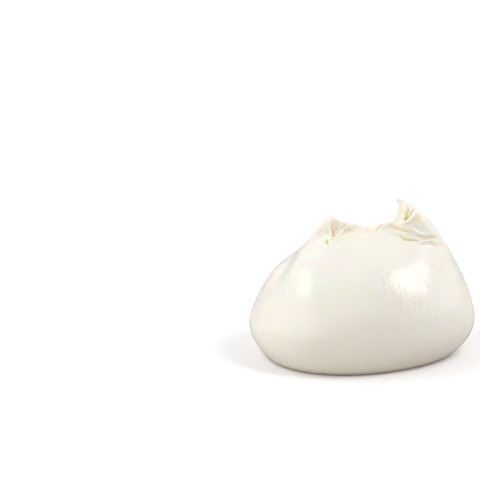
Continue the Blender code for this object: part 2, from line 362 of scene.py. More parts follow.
@dataclass(frozen=True)
class WetCheese:
    """Fresh stretched curd under a film of whey: cream white, with a painted warm shade in its folds, finely
    rippled.

    rim is a painted brown shade where the skin tucks in to the table, up to rim_height. Ripples and grain are
    all over the skin, and crinkles are in some spots. Lines run down it in those spots, and where the noise of
    line_patch is past line_start. Above gather the skin is less wet.
    """

    cream: Colour = (0.963, 0.872, 0.785)
    milk: Colour = (0.973, 0.895, 0.832)
    # fold is the painted warm shade that the hollows of the folds take.
    fold: Colour = (0.985, 0.82, 0.5)
    # rim is a painted contact shade: the skin darkens to it towards the table.
    rim: Colour = (0.41, 0.225, 0.105)
    rim_height: float = 2.4
    rim_fall: float = 2.0
    patch: float = 14.0
    film_patch: float = 14.0 / 3
    ripple: float = 1.1
    ripple_depth: float = 0.04
    crinkle: float = 1.05
    crinkle_depth: float = 0.12
    crinkle_detail: float = 0.5
    crinkled: Sequence[Spot] = (
        Spot((16.5, -21.0, 29.0), 16.0), Spot((-20.5, -20.0, 27.5), 11.0), Spot((23.0, 20.0, 27.0), 16.0),
        Spot((-21.0, 21.0, 22.0), 14.0), Spot((-33.0, 0.0, 23.0), 11.0))
    crinkled_edge: float = 0.5
    line: float = 1.3
    line_depth: float = 0.1
    line_run: float = 0.14
    line_patch: float = 9.0
    line_start: float = 0.42
    line_contrast: float = 4.0
    line_in_crinkles: float = 1.2
    girth: float = 34.0
    grain: float = 0.45
    grain_depth: float = 0.004
    grain_detail: float = 1.0
    wettest: float = 0.08
    driest: float = 0.2
    gather: float = 33.5
    gather_fade: float = 5.0
    gather_roughness: float = 0.265
    refraction: float = 1.4
    shine: float = 0.85
    scatter: Colour = (1.0, 0.62, 0.3)
    scatter_length: float = 2.6

    def material(self) -> bpy.types.Material:
        """Makes the material.

        Returns:
            A material that reads the painted warm shade of the folds from the mesh's attribute.
        """
        material, wiring = new_material("wet_cheese_skin")
        place = wiring.position((1, 1, 1))
        fold_shade = wiring.attribute("fold_warmth")
        patches = wiring.noise(place, self.patch)
        pale = wiring.blend(patches, opaque(self.cream), opaque(self.milk))
        # Painted shade: the hollows of the folds are blended towards the warmer, darker fold colour.
        fold_shaded = wiring.blend(fold_shade.clamped(), pale, opaque(self.fold))
        height = wiring.value(wiring.node("ShaderNodeSeparateXYZ", {}, {"Vector": place}), "Z")
        # Painted shade: the skin is blended to the dark brown rim colour as it nears the table.
        contact_shade = (1 - height * (1 / (self.rim_height * MM))).clamped() ** self.rim_fall
        film = wiring.noise(place, self.film_patch)
        dry = ((height * (1 / MM) - self.gather) * (1 / self.gather_fade)).clamped()
        filmed = self.wettest + (self.driest - self.wettest) * film
        inputs = {
            "Base Color": wiring.blend(contact_shade, fold_shaded, opaque(self.rim)),
            "Roughness": filmed + (self.gather_roughness - filmed) * dry,
            "IOR": self.refraction,
            "Specular IOR Level": self.shine,
            "Subsurface Weight": 1.0,
            "Subsurface Radius": self.scatter,
            "Subsurface Scale": self.scatter_length * MM,
            "Normal": self._relief(wiring, place),
        }
        shader = wiring.node("ShaderNodeBsdfPrincipled", {"subsurface_method": "RANDOM_WALK"}, inputs)
        wiring.node("ShaderNodeOutputMaterial", {}, {"Surface": shader.outputs["BSDF"]})
        return material

    def _relief(self, wiring: Wiring, place: bpy.types.NodeSocket) -> bpy.types.NodeSocket:
        """Raises the ripples, the crinkles, the fine lines that run down from the gather, and the grain.

        Args:
            wiring: The material's wiring.
            place: The place on the cheese, in metres.

        Returns:
            The skin's normal with all of them in it.
        """
        ripples = wiring.noise(place, self.ripple, detail=0.0)
        crinkled = self._crinkled(wiring, place)
        crinkles = wiring.noise(place, self.crinkle, self.crinkle_detail) * crinkled
        patches = (wiring.noise(place, self.line_patch) - self.line_start) * self.line_contrast
        strength = (patches + crinkled * self.line_in_crinkles).clamped()
        lines = wiring.noise(self._down_the_side(wiring, place), self.line, detail=0.0) * strength
        grain = wiring.noise(place, self.grain, self.grain_detail)
        height = (ripples * (self.ripple_depth * MM) + crinkles * (self.crinkle_depth * MM)
                  + lines * (self.line_depth * MM) + grain * (self.grain_depth * MM))
        bump = wiring.node("ShaderNodeBump", {}, {"Strength": 1.0, "Distance": 1.0, "Height": height})
        return bump.outputs["Normal"]

    def _crinkled(self, wiring: Wiring, place: bpy.types.NodeSocket) -> Value:
        """Finds how crinkled the skin is.

        Args:
            wiring: The material's wiring.
            place: The place on the cheese, in metres.

        Returns:
            A number that is 1 in the middle of the crinkled spots, and 0 outside them.
        """
        total: Operand = 0.0
        for spot in self.crinkled:
            away = wiring.measure("DISTANCE", place, tuple(part * MM for part in spot.middle))
            inside = 1 - away * (1 / (spot.radius * MM))
            total = (inside * (1 / self.crinkled_edge)).clamped() + total
        return total.clamped()

    def _down_the_side(self, wiring: Wiring, place: bpy.types.NodeSocket) -> bpy.types.NodeSocket:
        """Stretches the places on the cheese, for noise that runs down its side.

        Args:
            wiring: The material's wiring.
            place: The place on the cheese, in metres.

        Returns:
            A place that changes quickly round the cheese, and slowly down its side.
        """
        way_out = wiring.vector("NORMALIZE", wiring.vector("MULTIPLY", place, (1, 1, 0)), (0, 0, 0))
        around = wiring.vector("MULTIPLY", way_out, (self.girth * MM,) * 3)
        return wiring.vector("ADD", around, wiring.vector("MULTIPLY", place, (self.line_run,) * 3))


@dataclass(frozen=True)
class PlainSurface:
    """A plain matt surface that glows a little by itself, more so far from the cheese."""

    name: str
    colour: Colour
    near_glow: float = 0.0
    far_glow: float = 0.0
    far: float = 700.0
    roughness: float = 0.9

    def material(self) -> bpy.types.Material:
        """Makes the material.

        Returns:
            A material that glows from near_glow at the middle to far_glow at far and beyond.
        """
        material, wiring = new_material(self.name)
        place = wiring.position((1 / (self.far * MM),) * 3)
        share = wiring.measure("LENGTH", place).clamped()
        near, far = opaque((self.near_glow,) * 3), opaque((self.far_glow,) * 3)
        inputs = {
            "Base Color": opaque(self.colour),
            "Roughness": self.roughness,
            "Specular IOR Level": 0.0,
            "Emission Color": wiring.blend(share, near, far),
            "Emission Strength": 1.0,
        }
        shader = wiring.node("ShaderNodeBsdfPrincipled", {}, inputs)
        wiring.node("ShaderNodeOutputMaterial", {}, {"Surface": shader.outputs["BSDF"]})
        return material


# ---- The pouch and what the pinch pulled up ----------------------------------


@dataclass(frozen=True)
class Side:
    """One side of the pouch, as a curve of how far it stands out at each height.

    reach is how far it bulges, belly the height of that bulge, tuck the half height of the round below it,
    rise how far above the bulge the side would meet the middle, and fullness how full it stays on the way.
    """

    reach: float
    belly: float
    tuck: float
    rise: float
    fullness: float

    def reach_at(self, height: float) -> float:
        """Works out the side's curve.

        Args:
            height: A height above the table, in millimetres.

        Returns:
            How far the side stands out from the middle there, in millimetres.
        """
        above = height - self.belly
        if above < 0:
            return self.reach * math.sqrt(max(0.0, 1 - (above / self.tuck) ** 2))
        return self.reach * max(0.0, 1 - (above / self.rise) ** self.fullness)


@dataclass(frozen=True)
class Pouch:
    """The round of cheese below its gather."""

    left: Side = Side(reach=38.3, belly=11.0, tuck=21.0, rise=40.8, fullness=1.62)
    right: Side = Side(reach=38.5, belly=12.2, tuck=20.2, rise=61.6, fullness=1.5)
    front: Side = Side(reach=32.2, belly=11.0, tuck=21.6, rise=32.6, fullness=2.35)
    back: Side = Side(reach=33.5, belly=12.0, tuck=21.0, rise=31.8, fullness=2.1)
    seam_height: float = 42.9
    underside: float = -8.0
    skew: float = 0.17
    skew_top: float = 36.0
    segments: int = 160
    rings: int = 120

    def build(self) -> bpy.types.Object:
        """Makes a sphere whose rings take the reach of the four sides.

        Returns:
            A closed mesh object.
        """
        bpy.ops.mesh.primitive_uv_sphere_add(segments=self.segments, ring_count=self.rings, radius=1)
        pouch = bpy.context.object
        for vertex in pouch.data.vertices:
            vertex.co = self._place(vertex.co) * MM
        return pouch

    def _place(self, ball: Vector) -> Vector:
        """Carries a point of the unit sphere to the pouch.

        Args:
            ball: The point of the sphere.

        Returns:
            Its place on the pouch, in millimetres.
        """
        around = math.hypot(ball.x, ball.y) or 1.0
        height = self.underside + (ball.z + 1) / 2 * (self.seam_height - self.underside)
        across = ball.x / around * (self.right if ball.x > 0 else self.left).reach_at(height)
        back = ball.y / around * (self.back if ball.y > 0 else self.front).reach_at(height)
        low = min(1.0, max(0.0, 1 - height / self.skew_top))
        return Vector((across, back + self.skew * across * abs(ball.y) / around * low, height))


@dataclass(frozen=True)
class Roll:
    """A tapering roll of skin: stations of x, y, z and half width, and its depth as a share of its width."""

    name: str
    stations: Sequence[Station]
    flattened: float = 0.62
    roundness: int = 8

    def build(self) -> bpy.types.Object:
        """Makes the roll as a bevelled curve and closes it.

        Returns:
            A closed mesh object.
        """
        curve = bpy.data.curves.new(self.name, "CURVE")
        curve.dimensions = "3D"
        curve.bevel_depth = MM
        curve.bevel_resolution = self.roundness
        curve.use_fill_caps = True
        spline = curve.splines.new("NURBS")
        spline.points.add(len(self.stations) - 1)
        spline.use_endpoint_u = True
        spline.order_u = 3
        spline.resolution_u = self.roundness
        for point, (x, y, z, half_width) in zip(spline.points, self.stations):
            point.co = (x * MM, y / self.flattened * MM, z * MM, 1)
            point.radius = half_width
        drawn = link(bpy.data.objects.new(self.name, curve))
        mesh = evaluated_mesh(drawn)
        bpy.data.objects.remove(drawn, do_unlink=True)
        self._close(mesh)
        return link(bpy.data.objects.new(self.name, mesh))

    def _close(self, mesh: bpy.types.Mesh) -> None:
        """Welds the caps to the roll, and flattens it front to back.

        Args:
            mesh: The roll's mesh, which is changed.
        """
        shape = bmesh.new()
        shape.from_mesh(mesh)
        bmesh.ops.remove_doubles(shape, verts=shape.verts, dist=HAIR)
        bmesh.ops.scale(shape, vec=(1, self.flattened, 1), verts=shape.verts)
        bmesh.ops.recalc_face_normals(shape, faces=shape.faces)
        shape.to_mesh(mesh)
        shape.free()


EAR = Roll("ear", (
    (-13.4, 0.5, 30.5, 8.1), (-12.5, 0.0, 38.6, 5.2), (-11.0, 0.0, 42.5, 3.9), (-10.1, 0.0, 45.0, 2.6),
    (-9.6, 0.0, 47.0, 1.2)))
HORN = Roll("horn", (
    (17.8, 0.0, 33.6, 12.2), (17.4, -0.6, 41.2, 8.4), (17.0, -0.9, 45.0, 5.7), (16.4, -0.9, 47.6, 3.9),
    (15.8, -0.6, 49.6, 2.4), (15.1, -0.2, 51.3, 1.2)))
HORN_LINING = Roll("horn_lining", (
    (16.4, 2.0, 37.0, 9.0), (15.9, 1.6, 43.5, 6.4), (15.2, 1.3, 47.3, 4.2), (14.6, 1.0, 49.8, 2.6),
    (13.8, 0.9, 51.4, 1.6), (12.6, 0.8, 52.3, 0.9), (10.9, 0.7, 52.7, 0.5)))
LIP = Roll("lip", flattened=1.0, stations=(
    (-8.1, 0.0, 45.0, 1.3), (-3.1, 0.0, 43.5, 1.3), (1.5, 0.0, 42.2, 1.3), (4.6, 0.0, 42.2, 1.3),
    (7.6, 0.0, 43.8, 1.2), (11.7, 0.0, 44.2, 1.2)))


# ---- Folds -------------------------------------------------------------------


SOFT_SHARE = 0.52
SLIT_SHARE = 0.75
SLIT_STEEPNESS = 1.5
SLIT_ROUNDING = 0.3


class Press(Enum):
    """How the sides of a fold fall to its line."""

    SOFT = "a rounded valley or ridge"
    SLIT = "a narrow crease with rounded shoulders"

    def profile(self, widths: np.ndarray) -> np.ndarray:
        """Works out how a fold falls off at its sides.

        Args:
            widths: Distances from the fold's line, in widths of the fold.

        Returns:
            The share of the drawn depth that is pressed at each.
        """
        if self is Press.SOFT:
            return SOFT_SHARE * np.exp(-widths ** 2)
        rounded = np.sqrt(widths ** 2 + SLIT_ROUNDING ** 2) - SLIT_ROUNDING
        return SLIT_SHARE * np.exp(-SLIT_STEEPNESS * rounded)


@dataclass(frozen=True)
class Fold:
    """A line drawn on a board: its width, and its marks.

    A mark says how far across and up it is, and how deep the skin is pressed there, below 0 for a ridge.
    """

    width: float
    marks: Sequence[Mark]
    press: Press = Press.SOFT

    def route(self, steps: int) -> Iterator[Vector]:
        """Rounds the line between its marks.

        Args:
            steps: How many points there are from one mark to the next.

        Yields:
            Points of across, up and depth.
        """
        marks = [Vector(mark) for mark in self.marks]
        last = len(marks) - 1
        for index in range(max(1, last)):
            before, start, end, after = (marks[min(max(index + step, 0), last)] for step in (-1, 0, 1, 2))
            for step in range(steps + 1):
                t = step / steps
                bend = 2 * before - 5 * start + 4 * end - after
                twist = 3 * start - before - 3 * end + after
                yield 0.5 * (2 * start + (end - before) * t + bend * t ** 2 + twist * t ** 3)


@dataclass(frozen=True)
class Board:
    """A flat board beside the cheese, turned about Z from the front and leant back, in degrees.

    Its folds are pressed partly straight in, by the share named straight, and partly square to the skin.
    """

    name: str
    turn: float
    lean: float
    folds: Sequence[Fold]
    straight: float = 0.5

    def axes(self) -> tuple[Vector, Vector, Vector]:
        """Works out how the board stands.

        Returns:
            The board's across, up and inward directions.
        """
        turn = math.radians(self.turn)
        lean = math.radians(self.lean)
        across = Vector((math.cos(turn), math.sin(turn), 0))
        ahead = Vector((-math.sin(turn), math.cos(turn), 0))
        up = ahead * math.sin(lean) + Vector((0, 0, math.cos(lean)))
        inward = ahead * math.cos(lean) - Vector((0, 0, math.sin(lean)))
        return across, up, inward


SLIT = Press.SLIT

FRONT_BOARD = Board("front", turn=0, lean=18, folds=(
    # The ear: the hollow between its leaves, with a ridge down its left side and a slit at its foot.
    Fold(1.2, ((-9.3, 42.4, 0.1), (-9.0, 40.6, 0.5), (-9.2, 38.8, 0.5))),
    Fold(0.5, ((-9.9, 43.1, 0.1), (-10.0, 41.5, 0.4), (-9.6, 39.6, 0.7), (-9.4, 38.6, 1.1),
               (-9.3, 37.9, 0.5)), SLIT),
    Fold(0.9, ((-7.9, 42.3, 0.1), (-8.4, 40.4, 0.3), (-8.9, 38.8, 0.1))),
    Fold(0.5, ((-10.5, 43.4, -0.2), (-10.6, 41.3, -0.4), (-10.2, 39.6, -0.4), (-10.2, 37.6, -0.3))),
    Fold(0.35, ((-9.7, 43.1, 0.2), (-8.4, 42.8, 0.3), (-7.1, 43.1, 0.3))),
    # The pits under it, and the pleats that run out of them to the left.
    Fold(0.5, ((-11.2, 36.5, 0.6), (-11.3, 35.7, 1.3), (-11.0, 35.1, 0.4)), SLIT),
    Fold(0.35, ((-10.2, 37.3, 0.4), (-10.0, 36.9, 0.5))),
    Fold(0.45, ((-9.3, 37.2, -0.4), (-8.9, 37.1, -0.3))),
    Fold(0.6, ((-11.5, 36.2, 0.3), (-12.4, 37.8, 0.35), (-13.0, 39.3, 0.25), (-13.6, 41.2, 0.0))),
    Fold(0.45, ((-11.9, 36.0, 0.3), (-13.5, 37.2, 0.3), (-15.3, 38.1, 0.0))),
    Fold(0.8, ((-11.9, 35.0, 0.25), (-14.2, 34.4, 0.25), (-16.9, 34.0, 0.0))),
    Fold(0.8, ((-13.6, 42.2, -0.1), (-15.5, 38.8, -0.4), (-17.2, 36.4, -0.4), (-18.3, 34.4, -0.3),
               (-18.6, 31.6, -0.1))),
    # The pleats that fan out of them to the right, as far as the middle.
    Fold(0.35, ((-9.0, 37.2, -0.3), (-7.0, 39.4, -0.4), (-5.0, 41.4, -0.4), (-4.5, 42.5, -0.2))),
    Fold(0.4, ((-8.8, 37.9, 0.3), (-7.2, 39.9, 0.35), (-5.9, 41.2, 0.5), (-5.5, 41.8, 0.6),
               (-5.1, 42.8, 0.2))),
    Fold(0.9, ((-8.4, 37.3, 0.3), (-6.7, 38.4, 0.55), (-5.0, 39.3, 0.55), (-2.9, 39.9, 0.4),
               (-1.2, 40.3, 0.1))),
    Fold(0.5, ((-7.4, 37.1, 0.2), (-4.0, 38.2, 0.35), (-1.5, 39.1, 0.35), (0.6, 39.5, 0.1))),
    Fold(0.4, ((-8.2, 36.6, -0.1), (-6.0, 37.4, -0.2), (-3.3, 38.5, -0.15), (-0.9, 39.0, 0.0))),
    Fold(0.5, ((-7.9, 35.9, 0.2), (-5.3, 36.7, 0.3), (-2.9, 37.6, 0.3), (-0.2, 38.1, 0.1))),
    Fold(0.4, ((-4.3, 42.4, -0.2), (-3.6, 41.2, -0.4), (-2.4, 40.2, -0.2))),
    Fold(0.4, ((-2.9, 42.2, 0.3), (-1.9, 40.8, 0.4))),
    Fold(0.4, ((-0.3, 41.6, -0.2), (0.9, 40.9, -0.35), (1.9, 39.8, -0.15))),
    Fold(0.35, ((0.6, 41.9, 0.2), (1.6, 41.0, 0.35), (2.3, 39.9, 0.3), (2.5, 37.9, 0.1))),
    # The two lips of the pinch, which cross in the middle.
    Fold(0.5, ((1.0, 41.8, -0.2), (2.9, 41.0, -0.4), (4.4, 39.9, -0.35), (5.1, 39.2, -0.1))),
    Fold(0.4, ((3.3, 41.8, 0.3), (4.2, 40.8, 0.5), (5.0, 40.0, 0.3)), SLIT),
    Fold(0.45, ((7.4, 42.8, -0.2), (5.7, 41.9, -0.4), (4.8, 40.8, -0.3))),
    Fold(0.35, ((8.5, 42.3, 0.2), (6.4, 41.2, 0.5), (5.3, 40.1, 0.5), (5.0, 39.4, 0.3)), SLIT),
    # The horn: the rolled band along its inner edge, the slit beside it and the arm that joins that.
    Fold(0.45, ((14.1, 48.9, 0.1), (13.0, 46.9, 0.35), (12.8, 45.1, 0.45), (12.6, 43.8, 0.4),
                (11.4, 43.0, 0.2))),
    Fold(0.45, ((14.6, 48.9, -0.1), (13.7, 46.9, -0.3), (13.5, 45.1, -0.35), (13.8, 43.7, -0.35),
                (14.6, 42.8, -0.3))),
    Fold(1.1, ((15.9, 47.4, 0.1), (15.5, 45.6, 0.4), (15.0, 44.2, 0.4))),
    Fold(0.5, ((16.1, 48.0, 0.1), (15.7, 46.5, 0.6), (15.2, 44.7, 1.2), (14.8, 43.4, 1.7)), SLIT),
    Fold(0.6, ((13.7, 46.3, 0.2), (14.5, 45.4, 0.4))),
    Fold(0.5, ((17.8, 46.6, 0.1), (16.7, 45.3, 0.6), (15.6, 43.9, 0.8)), SLIT),
    Fold(0.4, ((16.7, 47.8, -0.1), (16.3, 46.2, -0.3), (15.8, 44.9, -0.2))),
    # The roll under them, and the hollows behind it.
    Fold(0.55, ((18.5, 47.1, -0.1), (18.6, 45.6, -0.5), (17.6, 44.2, -0.55), (15.9, 43.0, -0.55),
                (14.2, 42.3, -0.5),
                (12.4, 42.6, -0.2))),
    Fold(0.8, ((20.0, 45.4, 0.2), (18.7, 43.7, 0.5), (16.9, 42.4, 0.5), (14.5, 41.5, 0.25))),
    Fold(1.6, ((19.9, 44.0, 0.4), (19.4, 42.2, 0.6), (18.9, 41.0, 0.4))),
    # The puckers of the gather under the horn, which run down to the right.
    Fold(0.85, ((9.7, 41.6, 0.3), (11.8, 40.8, 0.55), (13.8, 40.1, 0.6), (15.5, 39.5, 0.6),
                (16.9, 38.6, 0.3))),
    Fold(0.4, ((10.2, 41.4, 0.2), (11.6, 40.8, 0.35), (14.5, 39.8, 0.45), (16.4, 38.9, 0.2)), SLIT),
    Fold(0.5, ((12.5, 41.5, 0.1), (14.2, 40.8, 0.35), (15.4, 40.0, 0.2))),
    Fold(0.35, ((9.2, 40.6, -0.2), (10.4, 39.7, -0.35), (11.8, 38.8, -0.3))),
    Fold(0.35, ((9.3, 40.0, 0.2), (10.8, 39.0, 0.3), (12.4, 38.3, 0.25))),
    Fold(0.4, ((12.8, 39.5, -0.25), (14.5, 38.8, -0.4), (16.3, 38.3, -0.4), (17.9, 38.1, -0.1))),
    Fold(0.45, ((12.5, 38.5, 0.3), (13.6, 37.5, 0.7), (14.9, 36.7, 0.95), (16.6, 36.5, 0.8),
                (18.6, 36.0, 0.3)), SLIT),
    Fold(0.45, ((16.9, 40.1, -0.3), (18.3, 39.3, -0.45), (20.0, 38.7, -0.35), (22.4, 39.1, -0.1))),
    Fold(0.35, ((22.7, 38.6, -0.25), (23.9, 38.2, -0.4), (25.1, 38.4, -0.15))),
    Fold(0.55, ((18.3, 37.9, 0.3), (20.3, 37.3, 0.65), (22.7, 37.3, 0.65), (24.8, 37.6, 0.4),
                (26.1, 37.6, 0.1))),
    Fold(0.42, ((19.2, 35.3, -0.3), (20.7, 36.1, -0.45), (22.4, 36.4, -0.45), (24.1, 36.8, -0.5),
                (25.8, 36.7, -0.5),
                (26.7, 35.9, -0.35), (27.1, 34.9, -0.1))),
    Fold(0.5, ((22.1, 35.9, 0.3), (23.4, 35.4, 0.65), (25.5, 35.0, 0.6), (26.8, 35.2, 0.3))),
    Fold(0.35, ((19.8, 35.1, 0.25), (21.5, 35.1, 0.3))),
    Fold(0.4, ((26.0, 34.6, -0.2), (27.2, 34.2, -0.4), (28.1, 33.6, -0.2))),
    Fold(1.8, ((25.5, 32.4, 0.15), (28.9, 31.4, 0.35), (32.0, 30.4, 0.15))),
    # Lower down, the ear's edge runs on as a shoulder, with a hollow and a bulge outside it.
    Fold(0.45, ((-18.7, 35.0, -0.1), (-18.4, 33.0, -0.2), (-18.3, 31.2, -0.1))),
    Fold(1.3, ((-18.8, 34.0, -0.1), (-19.9, 31.5, -0.35), (-21.3, 28.9, -0.4), (-22.3, 26.5, -0.3),
               (-22.6, 24.3, 0.0))),
    Fold(4.5, ((-21.5, 31.5, -0.1), (-22.2, 28.0, -0.8), (-19.8, 23.5, -1.0), (-16.8, 18.0, -1.1),
               (-14.5, 10.0, 0.0))),
    Fold(1.9, ((-21.3, 34.4, 0.5), (-22.8, 31.8, 0.4), (-24.5, 29.0, 0.0))),
    Fold(2.8, ((-22.6, 32.0, 0.0), (-24.8, 28.5, 0.6), (-26.5, 25.0, 0.45), (-28.0, 21.0, 0.0))),
    Fold(4.5, ((-26.0, 31.0, -0.5), (-29.5, 26.5, -1.7), (-32.5, 21.5, -1.2), (-34.0, 16.0, 0.0))),
    # Two faint swellings, below the middle and below the horn.
    Fold(6.0, ((3.5, 33.0, -0.3), (5.0, 28.0, -0.7), (5.5, 21.0, -0.3))),
    Fold(2.7, ((16.5, 27.4, -0.15), (20.5, 27.2, -0.34), (25.0, 26.4, -0.2))),
    # A nick in the smooth skin.
    Fold(0.35, ((-7.3, 20.9, -0.1), (-7.2, 19.7, -0.2), (-7.4, 18.4, -0.1))),
))

BACK_BOARD = Board("back", turn=180, lean=18, folds=(
    # The ear from behind: a pit with a slit above it and two pleats.
    Fold(1.0, ((10.4, 43.6, 0.0), (10.8, 40.8, 0.8), (11.3, 38.4, 1.4), (11.6, 36.4, 1.9)), SLIT),
    Fold(1.3, ((11.7, 36.2, 0.9), (14.6, 34.4, 0.6), (18.0, 33.4, 0.0))),
    Fold(1.4, ((11.4, 36.2, 0.9), (8.0, 36.8, 0.8), (4.5, 38.2, 0.4), (1.0, 39.6, 0.0))),
    Fold(0.9, ((9.4, 42.6, 0.0), (9.2, 40.2, -0.6), (9.6, 38.0, -0.5))),
    # The horn from behind: its slit, a hollow, and the puckers of the gather.
    Fold(1.0, ((-16.6, 48.2, 0.0), (-16.8, 45.0, 1.0), (-16.2, 42.0, 1.6), (-15.6, 39.8, 2.2)), SLIT),
    Fold(2.2, ((-20.2, 42.0, 0.9),)),
    Fold(1.0, ((-13.3, 46.2, 0.0), (-13.6, 43.2, -0.6), (-14.1, 40.8, -0.6), (-13.0, 38.8, 0.0))),
    Fold(0.9, ((-10.0, 39.8, 0.0), (-13.6, 38.6, 0.9), (-17.2, 37.3, 1.1), (-20.6, 36.9, 0.6),
               (-23.2, 37.1, 0.0))),
    Fold(0.8, ((-11.6, 38.4, 0.0), (-16.0, 36.6, -0.6), (-20.6, 36.0, -0.5), (-25.0, 36.6, 0.0))),
    Fold(0.9, ((-10.6, 38.1, 0.0), (-14.8, 36.3, 0.8), (-19.2, 35.0, 1.0), (-23.6, 35.1, 0.6),
               (-26.8, 35.4, 0.0))),
))

TOP_BOARD = Board("top", turn=0, lean=90, folds=(
    # The pinched seam between the ear and the horn.
    Fold(0.7, ((-8.0, 0.5, 0.2), (-3.0, 0.9, 0.6), (1.5, 0.8, 0.7), (6.0, 1.0, 0.6), (10.0, 0.8, 0.2)), SLIT),
))


@dataclass
class Presser:
    """Presses boards of folds into a skin, and keeps how deep the narrow ones went.

    Each fold raises a lip of lip_share of its depth beside it, lip_place widths away. It fades out where the
    skin turns from the board, and is gone past looks_away. away is how far off the board stands.
    """

    mesh: bpy.types.Mesh
    away: float = 200.0
    steps: int = 5
    lip_share: float = 0.25
    lip_place: float = 1.9
    lip_width: float = 0.7
    looks_away: float = 0.45
    looks_away_fade: float = 0.5
    reach: float = 4.0
    widest_noted: float = 1.3
    depth: np.ndarray = field(init=False)

    def __post_init__(self) -> None:
        """Starts with an unpressed skin."""
        self.depth = np.zeros(len(self.mesh.vertices))

    def press(self, board: Board) -> None:
        """Presses a board's folds into the side of the skin that faces it.

        Args:
            board: The board with the folds.
        """
        places = places_of(self.mesh)
        normals = normals_of(self.mesh)
        inward = np.array(board.axes()[2])
        facing = np.clip((self.looks_away - normals @ inward) / self.looks_away_fade, 0, 1)
        depth = np.zeros(len(places))
        for fold, route in self.routes(board):
            pressed = self._depth_of(fold, route, places) * facing
            depth += pressed
            if fold.width < self.widest_noted:
                self.depth += pressed
        way = inward * board.straight - normals * (1 - board.straight)
        way /= np.linalg.norm(way, axis=1)[:, None]
        move_vertices(self.mesh, places + way * depth[:, None])

    def routes(self, board: Board) -> list[tuple[Fold, np.ndarray]]:
        """Carries a board's folds onto the skin.

        Args:
            board: The board they are drawn on.

        Returns:
            Each fold with its route, as rows of x, y, z and depth in metres.
        """
        faces = [face.vertices for face in self.mesh.polygons]
        tree = BVHTree.FromPolygons([vertex.co for vertex in self.mesh.vertices], faces)
        across, up, inward = board.axes()
        found = []
        for fold in board.folds:
            rows = []
            for mark in fold.route(self.steps):
                start = (across * mark.x + up * mark.y - inward * self.away) * MM
                place = tree.ray_cast(start, inward)[0]
                if place is not None:
                    rows.append((*place, mark.z * MM))
            if len(rows) > 1:
                found.append((fold, np.array(rows)))
        return found

    def _depth_of(self, fold: Fold, route: np.ndarray, places: np.ndarray) -> np.ndarray:
        """Works out how deep one fold presses the skin.

        Args:
            fold: The fold.
            route: Its route on the skin, as rows of x, y, z and depth in metres.
            places: The skin's vertices.

        Returns:
            How deep each vertex goes, in metres, below 0 where a lip is raised.
        """
        reach = self.reach * fold.width * MM
        low = route[:, :3].min(axis=0) - reach
        high = route[:, :3].max(axis=0) + reach
        near = np.flatnonzero(np.all((places > low) & (places < high), axis=1))
        spots = places[near]
        nearest = np.full(len(near), np.inf)
        depth = np.zeros(len(near))
        for start, end in zip(route[:-1], route[1:]):
            along = end[:3] - start[:3]
            squared = max(along @ along, HAIR ** 2)
            share = np.clip((spots - start[:3]) @ along / squared, 0, 1)
            away = np.linalg.norm(spots - start[:3] - share[:, None] * along, axis=1)
            closer = away < nearest
            nearest[closer] = away[closer]
            depth[closer] = (start[3] + share * (end[3] - start[3]))[closer]
        widths = nearest / (fold.width * MM)
        lip = self.lip_share * np.exp(-((widths - self.lip_place) / self.lip_width) ** 2)
        pressed = np.zeros(len(places))
        pressed[near] = depth * (fold.press.profile(widths) - lip)
        return pressed


# ---- The skin ----------------------------------------------------------------


